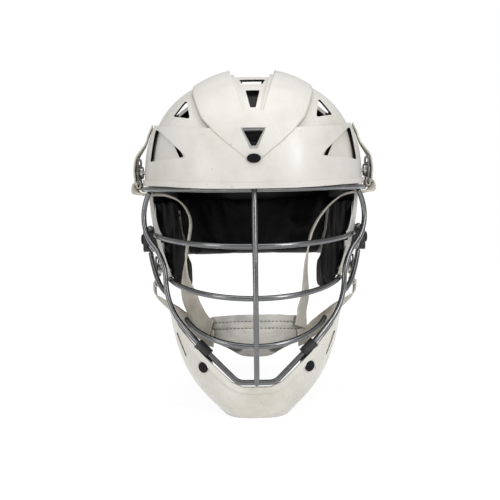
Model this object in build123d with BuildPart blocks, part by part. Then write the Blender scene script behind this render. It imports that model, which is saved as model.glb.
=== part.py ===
"""Field-sport helmet with wire face guard, chin guard, padded liner and chin cup.

Millimetres, +Z up, front of the helmet toward -Y, X across the helmet.
"""
import os
from math import cos, pi, radians, sin

from build123d import *

os.makedirs("parts", exist_ok=True)

# shell form: half sizes at its widest height, equator_z
shell_half_width = 107.0
shell_half_length = 146.4
shell_centre_y = 4.2
equator_z = 216.0
crown_rise = 108.5
skirt_z = 100.0
skirt_tuck = 27.0
side_power = 2.4
length_power = 2.2
plan_power = 2.5
shell_wall = 3.2
clearance = 0.3

# raised crests that run over the crown from front to rear
crest_growth = 3.4
crest_rise = 113.4
crest_power = 1.95
crest_half_width = 57.0
crest_tip_z = 223.0
shoulder_growth = 1.6
shoulder_rise = 110.6
valley_half_width = 22.5
valley_end_z = 268.0
valley_end_half_width = 9.0
valley_step = 4.5

# visor over the brow and temples
visor_wall = 3.2
visor_swell = 1.8
visor_band_height = 5.0
visor_centre_z = 199.0
visor_temple_z = 212.0
visor_rear_y = 14.0
visor_top_z = 273.0

# lower edges of the crown shell
brow_edge_z = 209.5
flap_front_y = -58.0
flap_rear_y = 14.0
flap_bottom_z = 121.0
rear_rim_z = 144.5
ear_centre_y = -12.0
ear_centre_z = 172.0
ear_length = 34.0
ear_height = 44.0

# face guard wires
wire_radius = 2.4
weld_bite = 0.4
wire_step = 2 * wire_radius - weld_bite
top_bar_z = 200.2
top_bar_climb = 11.6
top_bar_inset = 7.5
top_bar_outset = 3.2
top_bar_turn = 75.0

guard_wall = 3.0
guard_rear_y = -40.0

# chin cup
cup_axis_y = -48.0
cup_radius = 56.0
cup_wall = 3.0
cup_pad_thickness = 6.0

# webbing
strap_width = 16.0
strap_thickness = 1.6

# screws and studs
screw_radius = 2.0
bore_radius = screw_radius + clearance
pocket_radius = 6.4
clip_y = -45.0
clip_z = 160.0
clip_out_x = 109.0
clip_nut_x = 90.0
upper_stud_y = -46.0
upper_stud_z = 226.0
upper_stud_x = 108.8
upper_nut_x = 98.0
lower_stud_y = -38.0
lower_stud_z = 129.0
lower_stud_x = 93.6
lower_nut_x = 82.0
plate_thickness = 1.6
plate_height = 28.0
plate_width = 21.0
plate_gap = 3.2
neck_radius = 3.8
cap_radius = 6.0
cap_z = crest_tip_z + 2.2
cap_height_share = 0.66

round_steps = 24
level_steps = 7


def signed_power(value, power):
    """Power of a number that keeps its sign, for rounded-square outlines."""
    if value < 0:
        return -(abs(value) ** power)
    return abs(value) ** power


def plan_point(turn, growth, height, tuck=0.0):
    """Point round the shell outline, turn in degrees from the front, left is negative."""
    across = (shell_half_width + growth - tuck) * signed_power(sin(radians(turn)), 2 / plan_power)
    along = (shell_half_length + growth - tuck) * signed_power(cos(radians(turn)), 2 / plan_power)
    return (across, shell_centre_y - along, height)


def tuck_at(height):
    """How far the side wall has drawn in at one height below the equator."""
    if height >= equator_z:
        return 0.0
    return skirt_tuck * ((equator_z - height) / (equator_z - skirt_z)) ** 2


def even_steps(count):
    """Evenly spaced curve parameters, so that stacked outlines loft cleanly."""
    return [step / count for step in range(count + 1)]


def ring_sketch(half_width, half_length, height):
    """Closed rounded-square outline lying level at one height."""
    points = []
    for step in range(round_steps):
        turn = 2 * pi * (step + 0.5) / round_steps
        across = half_width * signed_power(sin(turn), 2 / plan_power)
        along = half_length * signed_power(cos(turn), 2 / plan_power)
        points.append(Vector(across, shell_centre_y + along))
    with BuildSketch(Plane.XY.offset(height)) as level:
        with BuildLine():
            add(Edge.make_spline(points, periodic=True, parameters=even_steps(round_steps)))
        make_face()
    return level.sketch


def dome(growth, rise=crown_rise, power=side_power):
    """Solid dome of the helmet, grown outward all round by one amount."""
    half_width = shell_half_width + growth
    half_length = shell_half_length + growth
    top = rise + growth
    levels = []
    for share in (1.0, 0.7, 0.35):
        height = equator_z - (equator_z - skirt_z) * share
        levels.append((half_width - tuck_at(height), half_length - tuck_at(height), height))
    for step in range(level_steps + 1):
        turn = radians(86) * step / level_steps
        lift = sin(turn) ** (2 / power)
        width = half_width * (1 - lift**power) ** (1 / power)
        length = half_length * (1 - lift**length_power) ** (1 / length_power)
        levels.append((width, length, equator_z + top * lift))
    with BuildPart() as block:
        for width, length, height in levels:
            add(ring_sketch(width, length, height))
        loft()
    return block.part


def prism(plane, points, start, end, radius=0.0):
    """Straight-sided block over an outline, from one distance to another off its plane."""
    with BuildPart() as block:
        with BuildSketch(plane.offset(start)):
            with BuildLine():
                if radius:
                    FilletPolyline(*points, radius=radius, close=True)
                else:
                    Polyline(*points, close=True)
            make_face()
        extrude(amount=end - start)
    return block.part


def mirrored(points):
    """Half outline on the right joined to its mirror on the left."""
    left = [(-across, up) for across, up in reversed(points) if across > 0]
    return points + left


front_plane = Plane(origin=(0, 0, 0), x_dir=(1, 0, 0), z_dir=(0, -1, 0))
rear_plane = Plane(origin=(0, 0, 0), x_dir=(-1, 0, 0), z_dir=(0, 1, 0))


def arc_chain(points, heading):
    """Arcs through the points, each one running on smoothly from the last."""
    edges = []
    for near, far in zip(points, points[1:]):
        arc = TangentArc(near, far, tangent=heading)
        edges.append(arc)
        heading = arc % 1
    return edges


def both_ways(points):
    """Smooth line from one side to the other, its middle at the first point."""
    half = arc_chain(points, (1, 0, 0))
    other = [edge.mirror(Plane.YZ) for edge in half]
    return Wire(half + other)


def tube(path, radius):
    """Round wire along a smooth line, with rounded ends."""
    with BuildPart() as wire:
        with BuildSketch(Plane(origin=path @ 0, z_dir=path % 0)):
            Circle(radius)
        sweep(path=path)
        with Locations(path @ 0, path @ 1):
            Sphere(radius)
    return wire.part


def bow(half_width, end_y, end_z, mid_y, mid_z, spread=68):
    """Line of a cross bar: flat in the middle, curving back at both ends."""
    points = []
    for share in (0.0, 0.45, 0.75, 1.0):
        turn = radians(spread * share)
        blend = (1 - cos(turn)) / (1 - cos(radians(spread)))
        across = half_width * sin(turn) / sin(radians(spread))
        points.append((across, mid_y + (end_y - mid_y) * blend, mid_z + (end_z - mid_z) * blend))
    return both_ways(points)


def strap(stations, width, thickness):
    """Flat webbing through stations, each a point and the direction its width lies in."""
    with BuildPart() as web:
        for index, (point, across) in enumerate(stations):
            ahead = Vector(*stations[min(index + 1, len(stations) - 1)][0])
            behind = Vector(*stations[max(index - 1, 0)][0])
            along = (ahead - behind).normalized()
            wide = Vector(*across)
            wide = (wide - along * wide.dot(along)).normalized()
            with BuildSketch(Plane(origin=point, x_dir=wide, z_dir=along)):
                Rectangle(width, thickness)
        loft(ruled=True)
    return web.part


def side_rod(radius, along, up, outer_x=150, inner_x=-150):
    """Round bar lying across the helmet, for bores and pockets."""
    with BuildPart() as rod:
        with BuildSketch(Plane.YZ.offset(-outer_x)):
            with Locations((along, up)):
                Circle(radius)
        extrude(amount=outer_x - inner_x)
    return rod.part


def front_rod(radius, up, start, end):
    """Round bar on the centre line pointing forward, between two depths."""
    with BuildPart() as rod:
        with BuildSketch(front_plane.offset(start)):
            with Locations((0, up)):
                Circle(radius)
        extrude(amount=end - start)
    return rod.part


def other_side(solid):
    """Mirror copy on the other side of the helmet."""
    return solid.mirror(Plane.YZ)


# crests: outline from the front, a beak that widens upward
crest_front_height = 122.0
crest_front_shares = [
    (0, 0), (0.13, 0.023), (0.41, 0.133), (0.62, 0.227), (0.79, 0.328), (0.88, 0.433), (0.98, 0.582), (1, 1),
]
crest_rear_height = 177.0
crest_rear_shares = [(0.45, 0), (0.72, 0.237), (0.90, 0.531), (0.97, 0.746), (1, 1)]


def crest_outline(shares, base, height):
    """Outline of both crests seen from the front or the rear."""
    return mirrored([(crest_half_width * across, base + height * up) for across, up in shares])


def valley_outline(end_z, end_half_width, half_width):
    """Outline of the valley between the crests, narrow at its lower end."""
    top_z = crest_tip_z + crest_front_height
    return mirrored([(end_half_width, end_z), (half_width, end_z + valley_rise), (half_width, top_z)])


valley_rise = 50.0
crest_front = crest_outline(crest_front_shares, crest_tip_z, crest_front_height)
crest_rear = crest_outline(crest_rear_shares, 168, crest_rear_height)
crest_form = dome(crest_growth, crest_rise, crest_power)
shoulder_form = dome(shoulder_growth, shoulder_rise, crest_power)


def crest_block(plane, outline, start, end_z, end_half_width):
    """Crest material on one half of the helmet, stepped down twice into the valley."""
    block = prism(plane, outline, start, 200)
    wide = prism(plane, valley_outline(end_z, end_half_width, valley_half_width), start, 200)
    narrow_half_width = valley_half_width - valley_step
    narrow_end = end_half_width - valley_step / 2
    narrow = prism(plane, valley_outline(end_z, narrow_end, narrow_half_width), start, 200)
    return [(block - wide) & crest_form, (block - narrow) & shoulder_form]


front_crest = crest_block(front_plane, crest_front, -shell_centre_y, valley_end_z, valley_end_half_width)
rear_crest = crest_block(rear_plane, crest_rear, shell_centre_y, valley_end_z - 50, valley_end_half_width * 1.2)

shell_side = [
    (-190, brow_edge_z),
    (-118, brow_edge_z + 1.5),
    (-84, brow_edge_z + 5),
    (flap_front_y + 6, brow_edge_z + 4),
    (flap_front_y + 5, 198),
    (flap_front_y - 4, 165),
    (flap_front_y + 2, flap_bottom_z + 8),
    (flap_front_y + 12, flap_bottom_z),
    (flap_rear_y - 14, flap_bottom_z),
    (flap_rear_y + 20, rear_rim_z - 4),
    (110, rear_rim_z),
    (190, rear_rim_z),
    (190, 360),
    (-190, 360),
]
vents = [
    prism(front_plane, mirrored([(9, 300.2), (12.6, 308.4)]), 40, 170, 1.2),
    prism(front_plane, mirrored([(2.4, 272.5), (6.4, 291.8)]), 60, 170, 0.8),
    prism(front_plane, mirrored([(2.0, 236.3), (8.8, 250.2)]), 100, 170, 1.0),
    prism(Plane.XY, mirrored([(10, -34), (10, 2)]), 250, 340, 3),
    prism(rear_plane, mirrored([(9, 292), (12.5, 300)]), 60, 170, 1.2),
    prism(rear_plane, mirrored([(6.6, 238), (9, 262)]), 100, 170, 1.2),
]
# stepped rim round the front vent
front_rim = prism(front_plane, mirrored([(3.5, 234.3), (10.4, 251.8)]), 100, 170, 1.6)
vents.append(front_rim - dome(crest_growth - 1.6, crest_rise - 1.6, crest_power))
for flip in (1, -1):
    side_vent = [(across * flip, up) for across, up in [(56, 265), (73, 271), (61, 288)]]
    slot = [(across * flip, up) for across, up in [(61, 230), (65, 230), (70.5, 242), (68.5, 243)]]
    vents.append(prism(front_plane, slot, 60, 200, 0.8))
    vents.append(prism(front_plane, side_vent, 30, 170, 1.5))
    vents.append(prism(rear_plane, side_vent, 40, 170, 1.5))
    top_vent = [(across * flip, along) for across, along in [(66, -16), (82, -12), (82, 16), (66, 20)]]
    vents.append(prism(Plane.XY, top_vent, 250, 340, 3))
shell_bores = [
    side_rod(bore_radius, upper_stud_y, upper_stud_z),
    side_rod(bore_radius, lower_stud_y, lower_stud_z),
    side_rod(bore_radius, clip_y, clip_z),
    front_rod(bore_radius, cap_z, 120, 170),
]
with BuildPart() as crown_shell:
    add(dome(0))
    add(front_crest + rear_crest)
    add(dome(-shell_wall), mode=Mode.SUBTRACT)
    add(prism(Plane.YZ, shell_side, -150, 150, 3), mode=Mode.INTERSECT)
    add(vents + shell_bores, mode=Mode.SUBTRACT)
    # ear openings
    with BuildSketch(Plane.YZ.offset(-150)):
        with Locations((ear_centre_y, ear_centre_z)):
            Ellipse(ear_length / 2, ear_height / 2)
    extrude(amount=300, mode=Mode.SUBTRACT)

rim_side = [
    (-190, visor_centre_z - 3),
    (-150, visor_centre_z),
    (-120, visor_centre_z + 5.8),
    (-92, visor_centre_z + 9.4),
    (-60, visor_temple_z + 0.6),
    (-40, visor_temple_z + 2.5),
    (visor_rear_y + 2, visor_temple_z + 2.5),
]
band_side = rim_side + [(along, up + visor_band_height) for along, up in reversed(rim_side)]
visor_side = rim_side + [
    (visor_rear_y - 2, visor_top_z - 20),
    (visor_rear_y - 10, visor_top_z + 6),
    (-47, visor_top_z),
    (-118, visor_top_z - 16),
    (-190, visor_top_z - 32),
]
scoops = []
for flip in (1, -1):
    scoop = [(across * flip, up) for across, up in [(57, 228), (96, 231), (91, 263)]]
    scoops.append(prism(front_plane, scoop, 20, 200, 1.6))
with BuildPart() as visor:
    add(dome(clearance + visor_wall))
    add(dome(clearance + visor_wall + visor_swell) & prism(Plane.YZ, band_side, -150, 150))
    add(dome(clearance), mode=Mode.SUBTRACT)
    add(prism(Plane.YZ, visor_side, -150, 150), mode=Mode.INTERSECT)
    add(prism(front_plane, crest_front, 60, 200), mode=Mode.SUBTRACT)
    add(scoops + shell_bores, mode=Mode.SUBTRACT)

# face guard: the wire that runs down both sides and round the chin
side_path = both_ways([
    (0, -129, 33),
    (11, -128.8, 33),
    (19.5, -127.2, 36.2),
    (45.4, -119, 60.6),
    (67.4, -108.5, 83.3),
    (81.7, -97, 121),
    (94, -87, 153),
    (99, -80, 201.8),
])
mask_side_wire = tube(side_path, wire_radius)
mask_upper_bar = tube(bow(92.4, -81.4, 163, -144, 151), wire_radius)
mask_middle_bar = tube(bow(78, -91.8, 122, -147, 107), wire_radius)
mask_lower_bar = tube(bow(62.5, -103.5, 86, -142, 66), wire_radius)
upper_run = arc_chain([(0, -151.4, 107), (0, -148.4, 151), (0, -145.2, 178), (0, -138.7, 200.8)], (0, 0, 1))
lower_run = arc_chain([(0, -151.4, 107), (0, -146.4, 66), (0, -133.4, 33)], (0, 0, -1))
mask_centre_bar = tube(Wire(upper_run + lower_run), wire_radius)
top_points = []
for turn in (0, 20, 38, 56, top_bar_turn):
    share = 1 - cos(radians(turn))
    growth = top_bar_outset - (top_bar_inset + top_bar_outset) * max(0, 1 - share / 0.45)
    top_points.append(plan_point(turn, growth, top_bar_z + top_bar_climb * share))
mask_top_bar = tube(both_ways(top_points), wire_radius)

# side returns: a loop of wire outside each ear flap, and a jaw wire up to it
return_path = Wire(arc_chain(
    [
        (-98.2, -78.8, 170),
        (-104.3, -44, 168),
        (-105.2, -36, 160),
        (-104, -44, 152),
        (-94.9, -82.9, 150.3),
    ],
    (-0.24, 0.97, 0),
))
mask_return_left = tube(return_path, wire_radius)
jaw_path = Wire(arc_chain([(-80.9, -95.2, 108.6), (-95, -68, 126), (-101.2, -55.5, 145.4)], (-0.5, 0.85, 0.3)))
mask_jaw_wire_left = tube(jaw_path, wire_radius)

# clips that hold the loops to the ear flaps
with BuildPart() as mask_clip_left:
    with Locations((-(clip_out_x + 85) / 2, clip_y, clip_z)):
        Box(clip_out_x - 85, 18, 25)
    fillet(mask_clip_left.edges().filter_by(Axis.X), 4)
    add(dome(clearance), mode=Mode.SUBTRACT)
    add(tube(return_path, wire_radius + clearance), mode=Mode.SUBTRACT)
    with Locations(Location((-clip_out_x, clip_y, clip_z), (0, 90, 0))):
        Cylinder(bore_radius, 60, mode=Mode.SUBTRACT)


def side_screw(head_x, inner_x, head_radius, nut_radius, along, up):
    """Screw through the side with a domed head outside and a nut inside, left side."""
    with BuildPart() as screw:
        with BuildSketch(Plane.YZ.offset(-head_x)):
            with Locations((along, up)):
                Circle(head_radius)
        extrude(amount=-2.6)
        fillet(screw.faces().sort_by(Axis.X)[0].edges(), 1.6)
        with BuildSketch(Plane.YZ.offset(-head_x)):
            with Locations((along, up)):
                Circle(screw_radius)
        extrude(amount=head_x - inner_x)
        with BuildSketch(Plane.YZ.offset(-inner_x - 3)):
            with Locations((along, up)):
                RegularPolygon(nut_radius, 6)
        extrude(amount=2.6)
    return screw.part


mask_screw_left = side_screw(clip_out_x + clearance, clip_nut_x, 5.2, 4.2, clip_y, clip_z)

# cap screw where the crest beak meets the visor
cap_y = shell_half_length - shell_centre_y + crest_growth + 0.8 - 1.5 * clearance
with BuildPart() as front_screw:
    with BuildSketch(front_plane.offset(cap_y)):
        with Locations((0, cap_z)):
            Ellipse(cap_radius, cap_radius * cap_height_share)
    extrude(amount=1.8)
    fillet(front_screw.faces().sort_by(Axis.Y)[0].edges(), 1.2)
    add(front_rod(screw_radius, cap_z, cap_y - 11.5, cap_y))
    add(front_rod(4.4, cap_z, cap_y - 10.4, cap_y - 8))

# chin guard: a scoop that follows the jaw wire
guard_half_width = 86.0
guard_reach = 90.0
guard_height = 110.0
guard_level_shares = [
    (0, 0.407, 0.9), (0.055, 0.477, 0.933), (0.182, 0.64, 0.967), (0.39, 0.808, 1), (0.573, 0.895, 1),
    (0.773, 0.953, 0.978), (1, 1, 0.933),
]
guard_power = 3.0


def guard_form(draw, base):
    """Closed chin form drawn in all round by one amount."""
    with BuildPart() as form:
        for up_share, width_share, reach_share in guard_level_shares:
            up = guard_height * up_share
            half_width = guard_half_width * width_share
            reach = guard_reach * reach_share
            points = []
            for step in range(-6, 7):
                turn = radians(90) * step / 6
                across = (half_width - draw) * signed_power(sin(turn), 2 / guard_power)
                along = (reach - draw) * signed_power(cos(turn), 2 / guard_power)
                points.append(Vector(across, guard_rear_y - along))
            with BuildSketch(Plane.XY.offset(max(up, base))):
                with BuildLine():
                    rim = Edge.make_spline(points, parameters=even_steps(12))
                    add(rim)
                    Line(rim @ 1, rim @ 0)
                make_face()
        loft()
    return form.part


guard_edge = [(0, 28.8), (12, 28.8), (21.8, 33.2), (48, 57.6), (70, 80.4), (76.5, 94), (80, 103.5), (95, 106), (95, 140)]
lip_rise = 1.2
lip_width = 6.0
lip_line = [(across + lip_width * 0.4, up - lip_width * 0.8) for across, up in guard_edge[1:-1]]
lip_band = mirrored([(0, guard_edge[0][1] - lip_width)] + lip_line + [(99, 140)])
guard_side = [(-160, -5), (-106, -5), (-92, 18), (-74, 55), (-64, 88), (-62, 120), (-160, 120)]
with BuildPart() as chin_guard:
    add(guard_form(0, 0))
    add(guard_form(-lip_rise, 0) & prism(front_plane, lip_band, 20, 200))
    add(guard_form(guard_wall, guard_wall), mode=Mode.SUBTRACT)
    add(prism(front_plane, mirrored(guard_edge), 20, 200), mode=Mode.SUBTRACT)
    add(prism(Plane.YZ, guard_side, -120, 120, 5), mode=Mode.INTERSECT)
    for flip in (1, -1):
        groove = [(across * flip, up) for across, up in [(70.5, 74), (73, 72.5), (64, 52.5), (62.5, 53.5)]]
        add(prism(front_plane, groove, 40, 200) - guard_form(1.1, 0), mode=Mode.SUBTRACT)

# sleeves on the jaw wire, each on a tab screwed to the chin guard
clip_share = 0.37
sleeve_radius = 4.7
sleeve_length = 14.0
guard_outer = guard_form(0, 0)


def guard_face(across, up):
    """Point on the outside of the chin guard and the direction it faces."""
    hits = guard_outer.find_intersection_points(Axis((across, -300, up), (0, 1, 0)))
    point, normal = sorted(hits, key=lambda hit: hit[0].Y)[0]
    if normal.Y > 0:
        normal = normal * -1
    return point, normal


sleeve_at = side_path.position_at(clip_share)
sleeve_along = side_path.tangent_at(clip_share)
boss_at, boss_out = guard_face(-46.5, 45.5)
bridge_at, bridge_out = guard_face(-45, 53)
boss_plane = Plane(origin=boss_at, z_dir=boss_out)
sleeve_plane = Plane(origin=sleeve_at, z_dir=sleeve_along)

# room that the clip leaves round the guard's wall
wall_room = guard_form(-lip_rise - clearance, 0) - guard_form(guard_wall + clearance, 0)
wall_room -= prism(front_plane, mirrored([(across, up + clearance) for across, up in guard_edge]), 20, 200)
boss_depth = guard_wall + clearance
boss_thickness = 2.6
nut_radius = 4.2
nut_depth = 2.0
disc_radius = 4.9
nut_level = -boss_depth - boss_thickness - clearance - nut_depth / 2
nut_room = boss_plane * Pos(0, 0, nut_level - nut_depth) * Cylinder(nut_radius + clearance, 3 * nut_depth + 2 * clearance)
with BuildPart() as chin_clip_left:
    with Locations(boss_plane):
        with Locations((0, 0, -boss_depth - boss_thickness / 2)):
            Cylinder(5.8, boss_thickness)
    tab = [
        (boss_at - boss_out * (boss_depth + boss_thickness / 2), sleeve_along),
        (bridge_at - bridge_out * (boss_depth + boss_thickness / 2), sleeve_along),
        (sleeve_at - bridge_out * 1.5, sleeve_along),
    ]
    add(strap(tab, 9, boss_thickness))
    add(wall_room, mode=Mode.SUBTRACT)
    with Locations(sleeve_plane):
        Cylinder(sleeve_radius, sleeve_length)
    add(nut_room, mode=Mode.SUBTRACT)
    add(tube(side_path, wire_radius + clearance), mode=Mode.SUBTRACT)
    with Locations(boss_plane):
        Cylinder(bore_radius, 20, mode=Mode.SUBTRACT)
with BuildPart() as chin_screw_left:
    with Locations(boss_plane):
        with Locations((0, 0, clearance + 0.8)):
            Cylinder(disc_radius, 1.6)
    fillet(chin_screw_left.edges().filter_by(GeomType.CIRCLE).sort_by(Axis.Y)[0], 0.8)
    with Locations(boss_plane):
        with Locations((0, 0, -2.5)):
            Cylinder(screw_radius, 9)
        with Locations((0, 0, nut_level)):
            Cylinder(nut_radius, nut_depth)
guard_bore = boss_plane * Cylinder(bore_radius, 20) + boss_plane * Pos(0, 0, nut_radius) * Cylinder(disc_radius + clearance, 2 * nut_radius)
sleeve_notch = sleeve_plane * Cylinder(sleeve_radius + clearance, sleeve_length + 2 * clearance)
chin_guard.part -= [guard_bore, other_side(guard_bore), sleeve_notch, other_side(sleeve_notch)]

# chin cup and its pad
cup_levels = [(47, 43), (55, 51), (66, 55), (78, 56), (94, 54.5)]


def cup_ring(outer_draw, inner_draw):
    """Part of a bowl round the chin between two depths."""
    with BuildPart() as ring:
        for draw, mode in ((outer_draw, Mode.ADD), (inner_draw, Mode.SUBTRACT)):
            with BuildSketch(Plane(origin=(0, cup_axis_y, 0), x_dir=(1, 0, 0), z_dir=(0, -1, 0))):
                with BuildLine():
                    side = Spline(*[(reach - draw, up) for up, reach in cup_levels])
                    Polyline(side @ 1, (0, cup_levels[-1][0]), (0, cup_levels[0][0]), side @ 0)
                make_face()
            revolve(axis=Axis((0, cup_axis_y, 0), (0, 0, 1)), mode=mode)
    return ring.part


cup_outline = mirrored([(0, 49.5), (13, 50.3), (29, 59), (42, 63), (47, 70), (47, 80), (43, 86), (20, 89), (0, 89.6)])
with BuildPart() as chin_cup:
    add(cup_ring(0, cup_wall))
    add(prism(front_plane, cup_outline, -cup_axis_y + 8, 200), mode=Mode.INTERSECT)
pad_outline = [(across * 0.94, 70 + (up - 70) * 0.90) for across, up in cup_outline]
with BuildPart() as chin_cup_pad:
    add(cup_ring(cup_wall + clearance, cup_wall + cup_pad_thickness))
    add(prism(front_plane, pad_outline, -cup_axis_y + 8, 200), mode=Mode.INTERSECT)

# snap studs and strap buckles
flange_radius = 6.0
stud_cap_radius = 5.4
stud_cap_depth = 1.6
stud_nut_radius = 5.0
slot_share = 0.34
slot_height = 4.0


def snap_stud(face_x, along, up, inner_x):
    """Press stud on the left side: flange, neck and cap, with a shank through the wall."""
    flange_x = face_x + plate_gap - 1.3 * clearance
    cap_x = face_x + plate_gap + plate_thickness + clearance
    with BuildPart() as stud:
        for radius, near, far in (
            (flange_radius, face_x + 1.3 * clearance, flange_x),
            (neck_radius, flange_x, cap_x),
            (stud_cap_radius, cap_x, cap_x + stud_cap_depth),
            (screw_radius, inner_x, flange_x),
            (stud_nut_radius, inner_x - stud_cap_depth, inner_x),
        ):
            with BuildSketch(Plane.YZ.offset(-far)):
                with Locations((along, up)):
                    Circle(radius)
            extrude(amount=far - near)
        fillet(stud.faces().sort_by(Axis.X)[0].edges(), 0.9)
    return stud.part


def buckle(face_x, along, up):
    """Webbing plate that snaps on a stud, with a slot above and below the hole."""
    with BuildPart() as plate:
        with BuildSketch(Plane.YZ.offset(-face_x - plate_gap - plate_thickness)):
            with Locations((along, up)):
                RectangleRounded(plate_width, plate_height, 3)
                Circle(neck_radius + clearance, mode=Mode.SUBTRACT)
            slot_up = plate_height * slot_share
            with Locations((along, up + slot_up), (along, up - slot_up)):
                Rectangle(strap_width + 3 * clearance, slot_height, mode=Mode.SUBTRACT)
        extrude(amount=plate_thickness)
        fillet(plate.faces().sort_by(Axis.X)[0].outer_wire().edges(), 0.5)
    return plate.part


upper_stud_left = snap_stud(upper_stud_x, upper_stud_y, upper_stud_z, upper_nut_x)
upper_buckle_left = buckle(upper_stud_x, upper_stud_y, upper_stud_z)
lower_stud_left = snap_stud(lower_stud_x, lower_stud_y, lower_stud_z, lower_nut_x)
lower_buckle_left = buckle(lower_stud_x, lower_stud_y, lower_stud_z)

loop_wall = 1.4
loop_depth = 4.6
loop_height = 7.6
strap_reach = loop_depth / 2 + strap_thickness / 2 - 0.4 * clearance


def loop(centre_x, along, up):
    """Turn of webbing round the lower bar of a buckle plate."""
    with BuildPart() as turn:
        with BuildSketch(front_plane.offset(-along - strap_width / 2)):
            with Locations((-centre_x, up)):
                RectangleRounded(loop_depth, loop_height, 2.2)
                RectangleRounded(loop_depth - 2 * loop_wall, loop_height - 2 * loop_wall, 0.8, mode=Mode.SUBTRACT)
        extrude(amount=strap_width)
    return turn.part


plate_x = plate_gap + plate_thickness / 2
upper_loop_x = upper_stud_x + plate_x
upper_loop_z = upper_stud_z - plate_height / 2 + 1.3
out_x = upper_loop_x + strap_reach
strap_rise = [
    ((-95, -64.8, 202.5), (0, -1, 0)),
    ((-106, -61.5, 203), (-0.2, -1, 0)),
    ((-112, -54.5, 205), (-0.3, -1, -0.2)),
    ((-out_x, -46.5, 211), (0, -1, 0)),
    ((-out_x - 0.4, upper_stud_y, 217), (0, -1, 0)),
    ((-out_x - 1.2, upper_stud_y, upper_stud_z + 1), (0, -1, 0)),
    ((-out_x - 0.2, upper_stud_y, upper_stud_z + 10), (0, -1, 0)),
    ((-out_x + 1.1, upper_stud_y, upper_stud_z + 15), (0.03, -1, 0)),
    ((-out_x + 4.9, upper_stud_y + 0.3, upper_stud_z + 21), (0.08, -1, 0)),
    ((-out_x + 9.4, upper_stud_y + 0.6, upper_stud_z + 28), (0.15, -1, 0)),
    ((-out_x + 12.4, upper_stud_y + 1.4, upper_stud_z + 37), (0.15, -1, 0)),
    ((-out_x + 15.9, upper_stud_y + 2.5, upper_stud_z + 46), (0.15, -1, 0)),
]
left_stations = [
    ((-41.5, -91.0, 76), (0.27, -0.23, 0.93)),
    ((-48.5, -83.5, 80), (0.45, -0.2, 0.85)),
    ((-56, -78.5, 90), (0.8, -0.2, 0.5)),
    ((-62, -76, 104), (0.9, -0.3, 0.1)),
    ((-66, -75, 123), (0.4, -0.9, 0)),
    ((-65, -72, 145), (0, -1, 0)),
    ((-61, -67, 172), (0, -1, 0)),
    ((-64, -65, 186), (0, -1, 0)),
    ((-72, -64.5, 196), (0, -1, 0)),
    ((-84, -64.5, 201.5), (0, -1, 0)),
]
# the right strap hangs nearer the middle; written as if on the left
right_stations = [
    ((-41.5, -91.0, 76.5), (0.27, -0.23, 0.93)),
    ((-42.8, -89.0, 84), (0.5, -0.6, 0.6)),
    ((-43.5, -86.0, 92), (0.52, -0.83, 0.2)),
    ((-46.8, -82.5, 105), (0.47, -0.88, 0)),
    ((-48.0, -78.0, 121), (0.3, -0.95, 0)),
    ((-49.0, -74.0, 135), (0.2, -1, 0)),
    ((-53.4, -69.5, 159), (0, -1, 0)),
    ((-57.2, -68.0, 169), (0, -1, 0)),
    ((-63.0, -67.0, 179), (0, -1, 0)),
    ((-72.3, -66.0, 190), (0, -1, 0)),
    ((-84.0, -65.0, 199), (0, -1, 0)),
]
upper_loop = loop(upper_loop_x, upper_stud_y, upper_loop_z)
upper_strap_left = strap(left_stations + strap_rise, strap_width, strap_thickness) + upper_loop
upper_strap_right = other_side(strap(right_stations + strap_rise, strap_width, strap_thickness) + upper_loop)
lower_loop_x = lower_stud_x + plate_x
lower_loop_z = lower_stud_z - plate_height / 2 + 1.3
lower_strap_stations = [
    ((-39.2, -90.1, 66), (0.0, -0.1, 1)),
    ((-47.5, -80.6, 68), (-0.1, 0, 1)),
    ((-54, -72.4, 72), (-0.2, 0.1, 1)),
    ((-61, -66, 76.5), (-0.3, 0.1, 1)),
    ((-68, -60.5, 81.5), (-0.4, 0.1, 1)),
    ((-75, -55, 87), (-0.5, 0, 1)),
    ((-82.5, -49.5, 92), (-0.5, -0.3, 0.9)),
    ((-90.5, -44, 97), (-0.4, -0.6, 0.7)),
    ((-lower_loop_x - 1.2, -40, 104), (0, -1, 0.3)),
    ((-lower_loop_x - strap_reach, lower_stud_y, lower_loop_z), (0, -1, 0)),
]
with BuildPart() as lower_strap_left:
    add(strap(lower_strap_stations, strap_width, strap_thickness))
    add(loop(lower_loop_x, lower_stud_y, lower_loop_z))

# liner pads
liner_gap = shell_wall + clearance
pad_thickness = 14.0
jaw_pad_thickness = 25.0


def liner(block, thickness):
    """Foam pad against the inside of the shell, cut to one block."""
    return (dome(-liner_gap) - dome(-liner_gap - thickness)) & block


brow_pad = liner(prism(Plane.YZ, [(-190, 214), (-62, 214), (-66, 246), (-190, 246)], -140, 140), pad_thickness)
side_region = [(-56, 206), (64, 206), (64, 246), (-58, 246)]
temple_pad_left = liner(prism(Plane.YZ, side_region, -140, -20), pad_thickness)
jaw_region = [(-50, 200), (-33, 200), (-33, 146), (8, 142), (8, 107), (-40, 107), (-50, 120)]
jaw_pad_left = liner(prism(Plane.YZ, jaw_region, -140, -64, 4), jaw_pad_thickness)
rear_region = [(86, 141.5), (190, 141.5), (190, 216), (86, 216)]
rear_pad = liner(prism(Plane.YZ, rear_region, -140, 140), pad_thickness)


def top_pad(corners, floor):
    """Crown pad over one outline seen from above."""
    return liner(prism(Plane.XY, corners, floor, 340, 6), pad_thickness)


front_top_pad = top_pad(mirrored([(54, -128), (54, -97)]), 252)
crown_top_pad = top_pad(mirrored([(42, 6), (42, 60)]), 252)
rear_top_pad = top_pad(mirrored([(30, 64), (30, 140)]), 240)
side_corners = [(-104, -52), (-84, -52), (-84, 24), (-52, 24), (-52, 100), (-104, 100)]
side_top_pad_left = top_pad(side_corners, 250)

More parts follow.
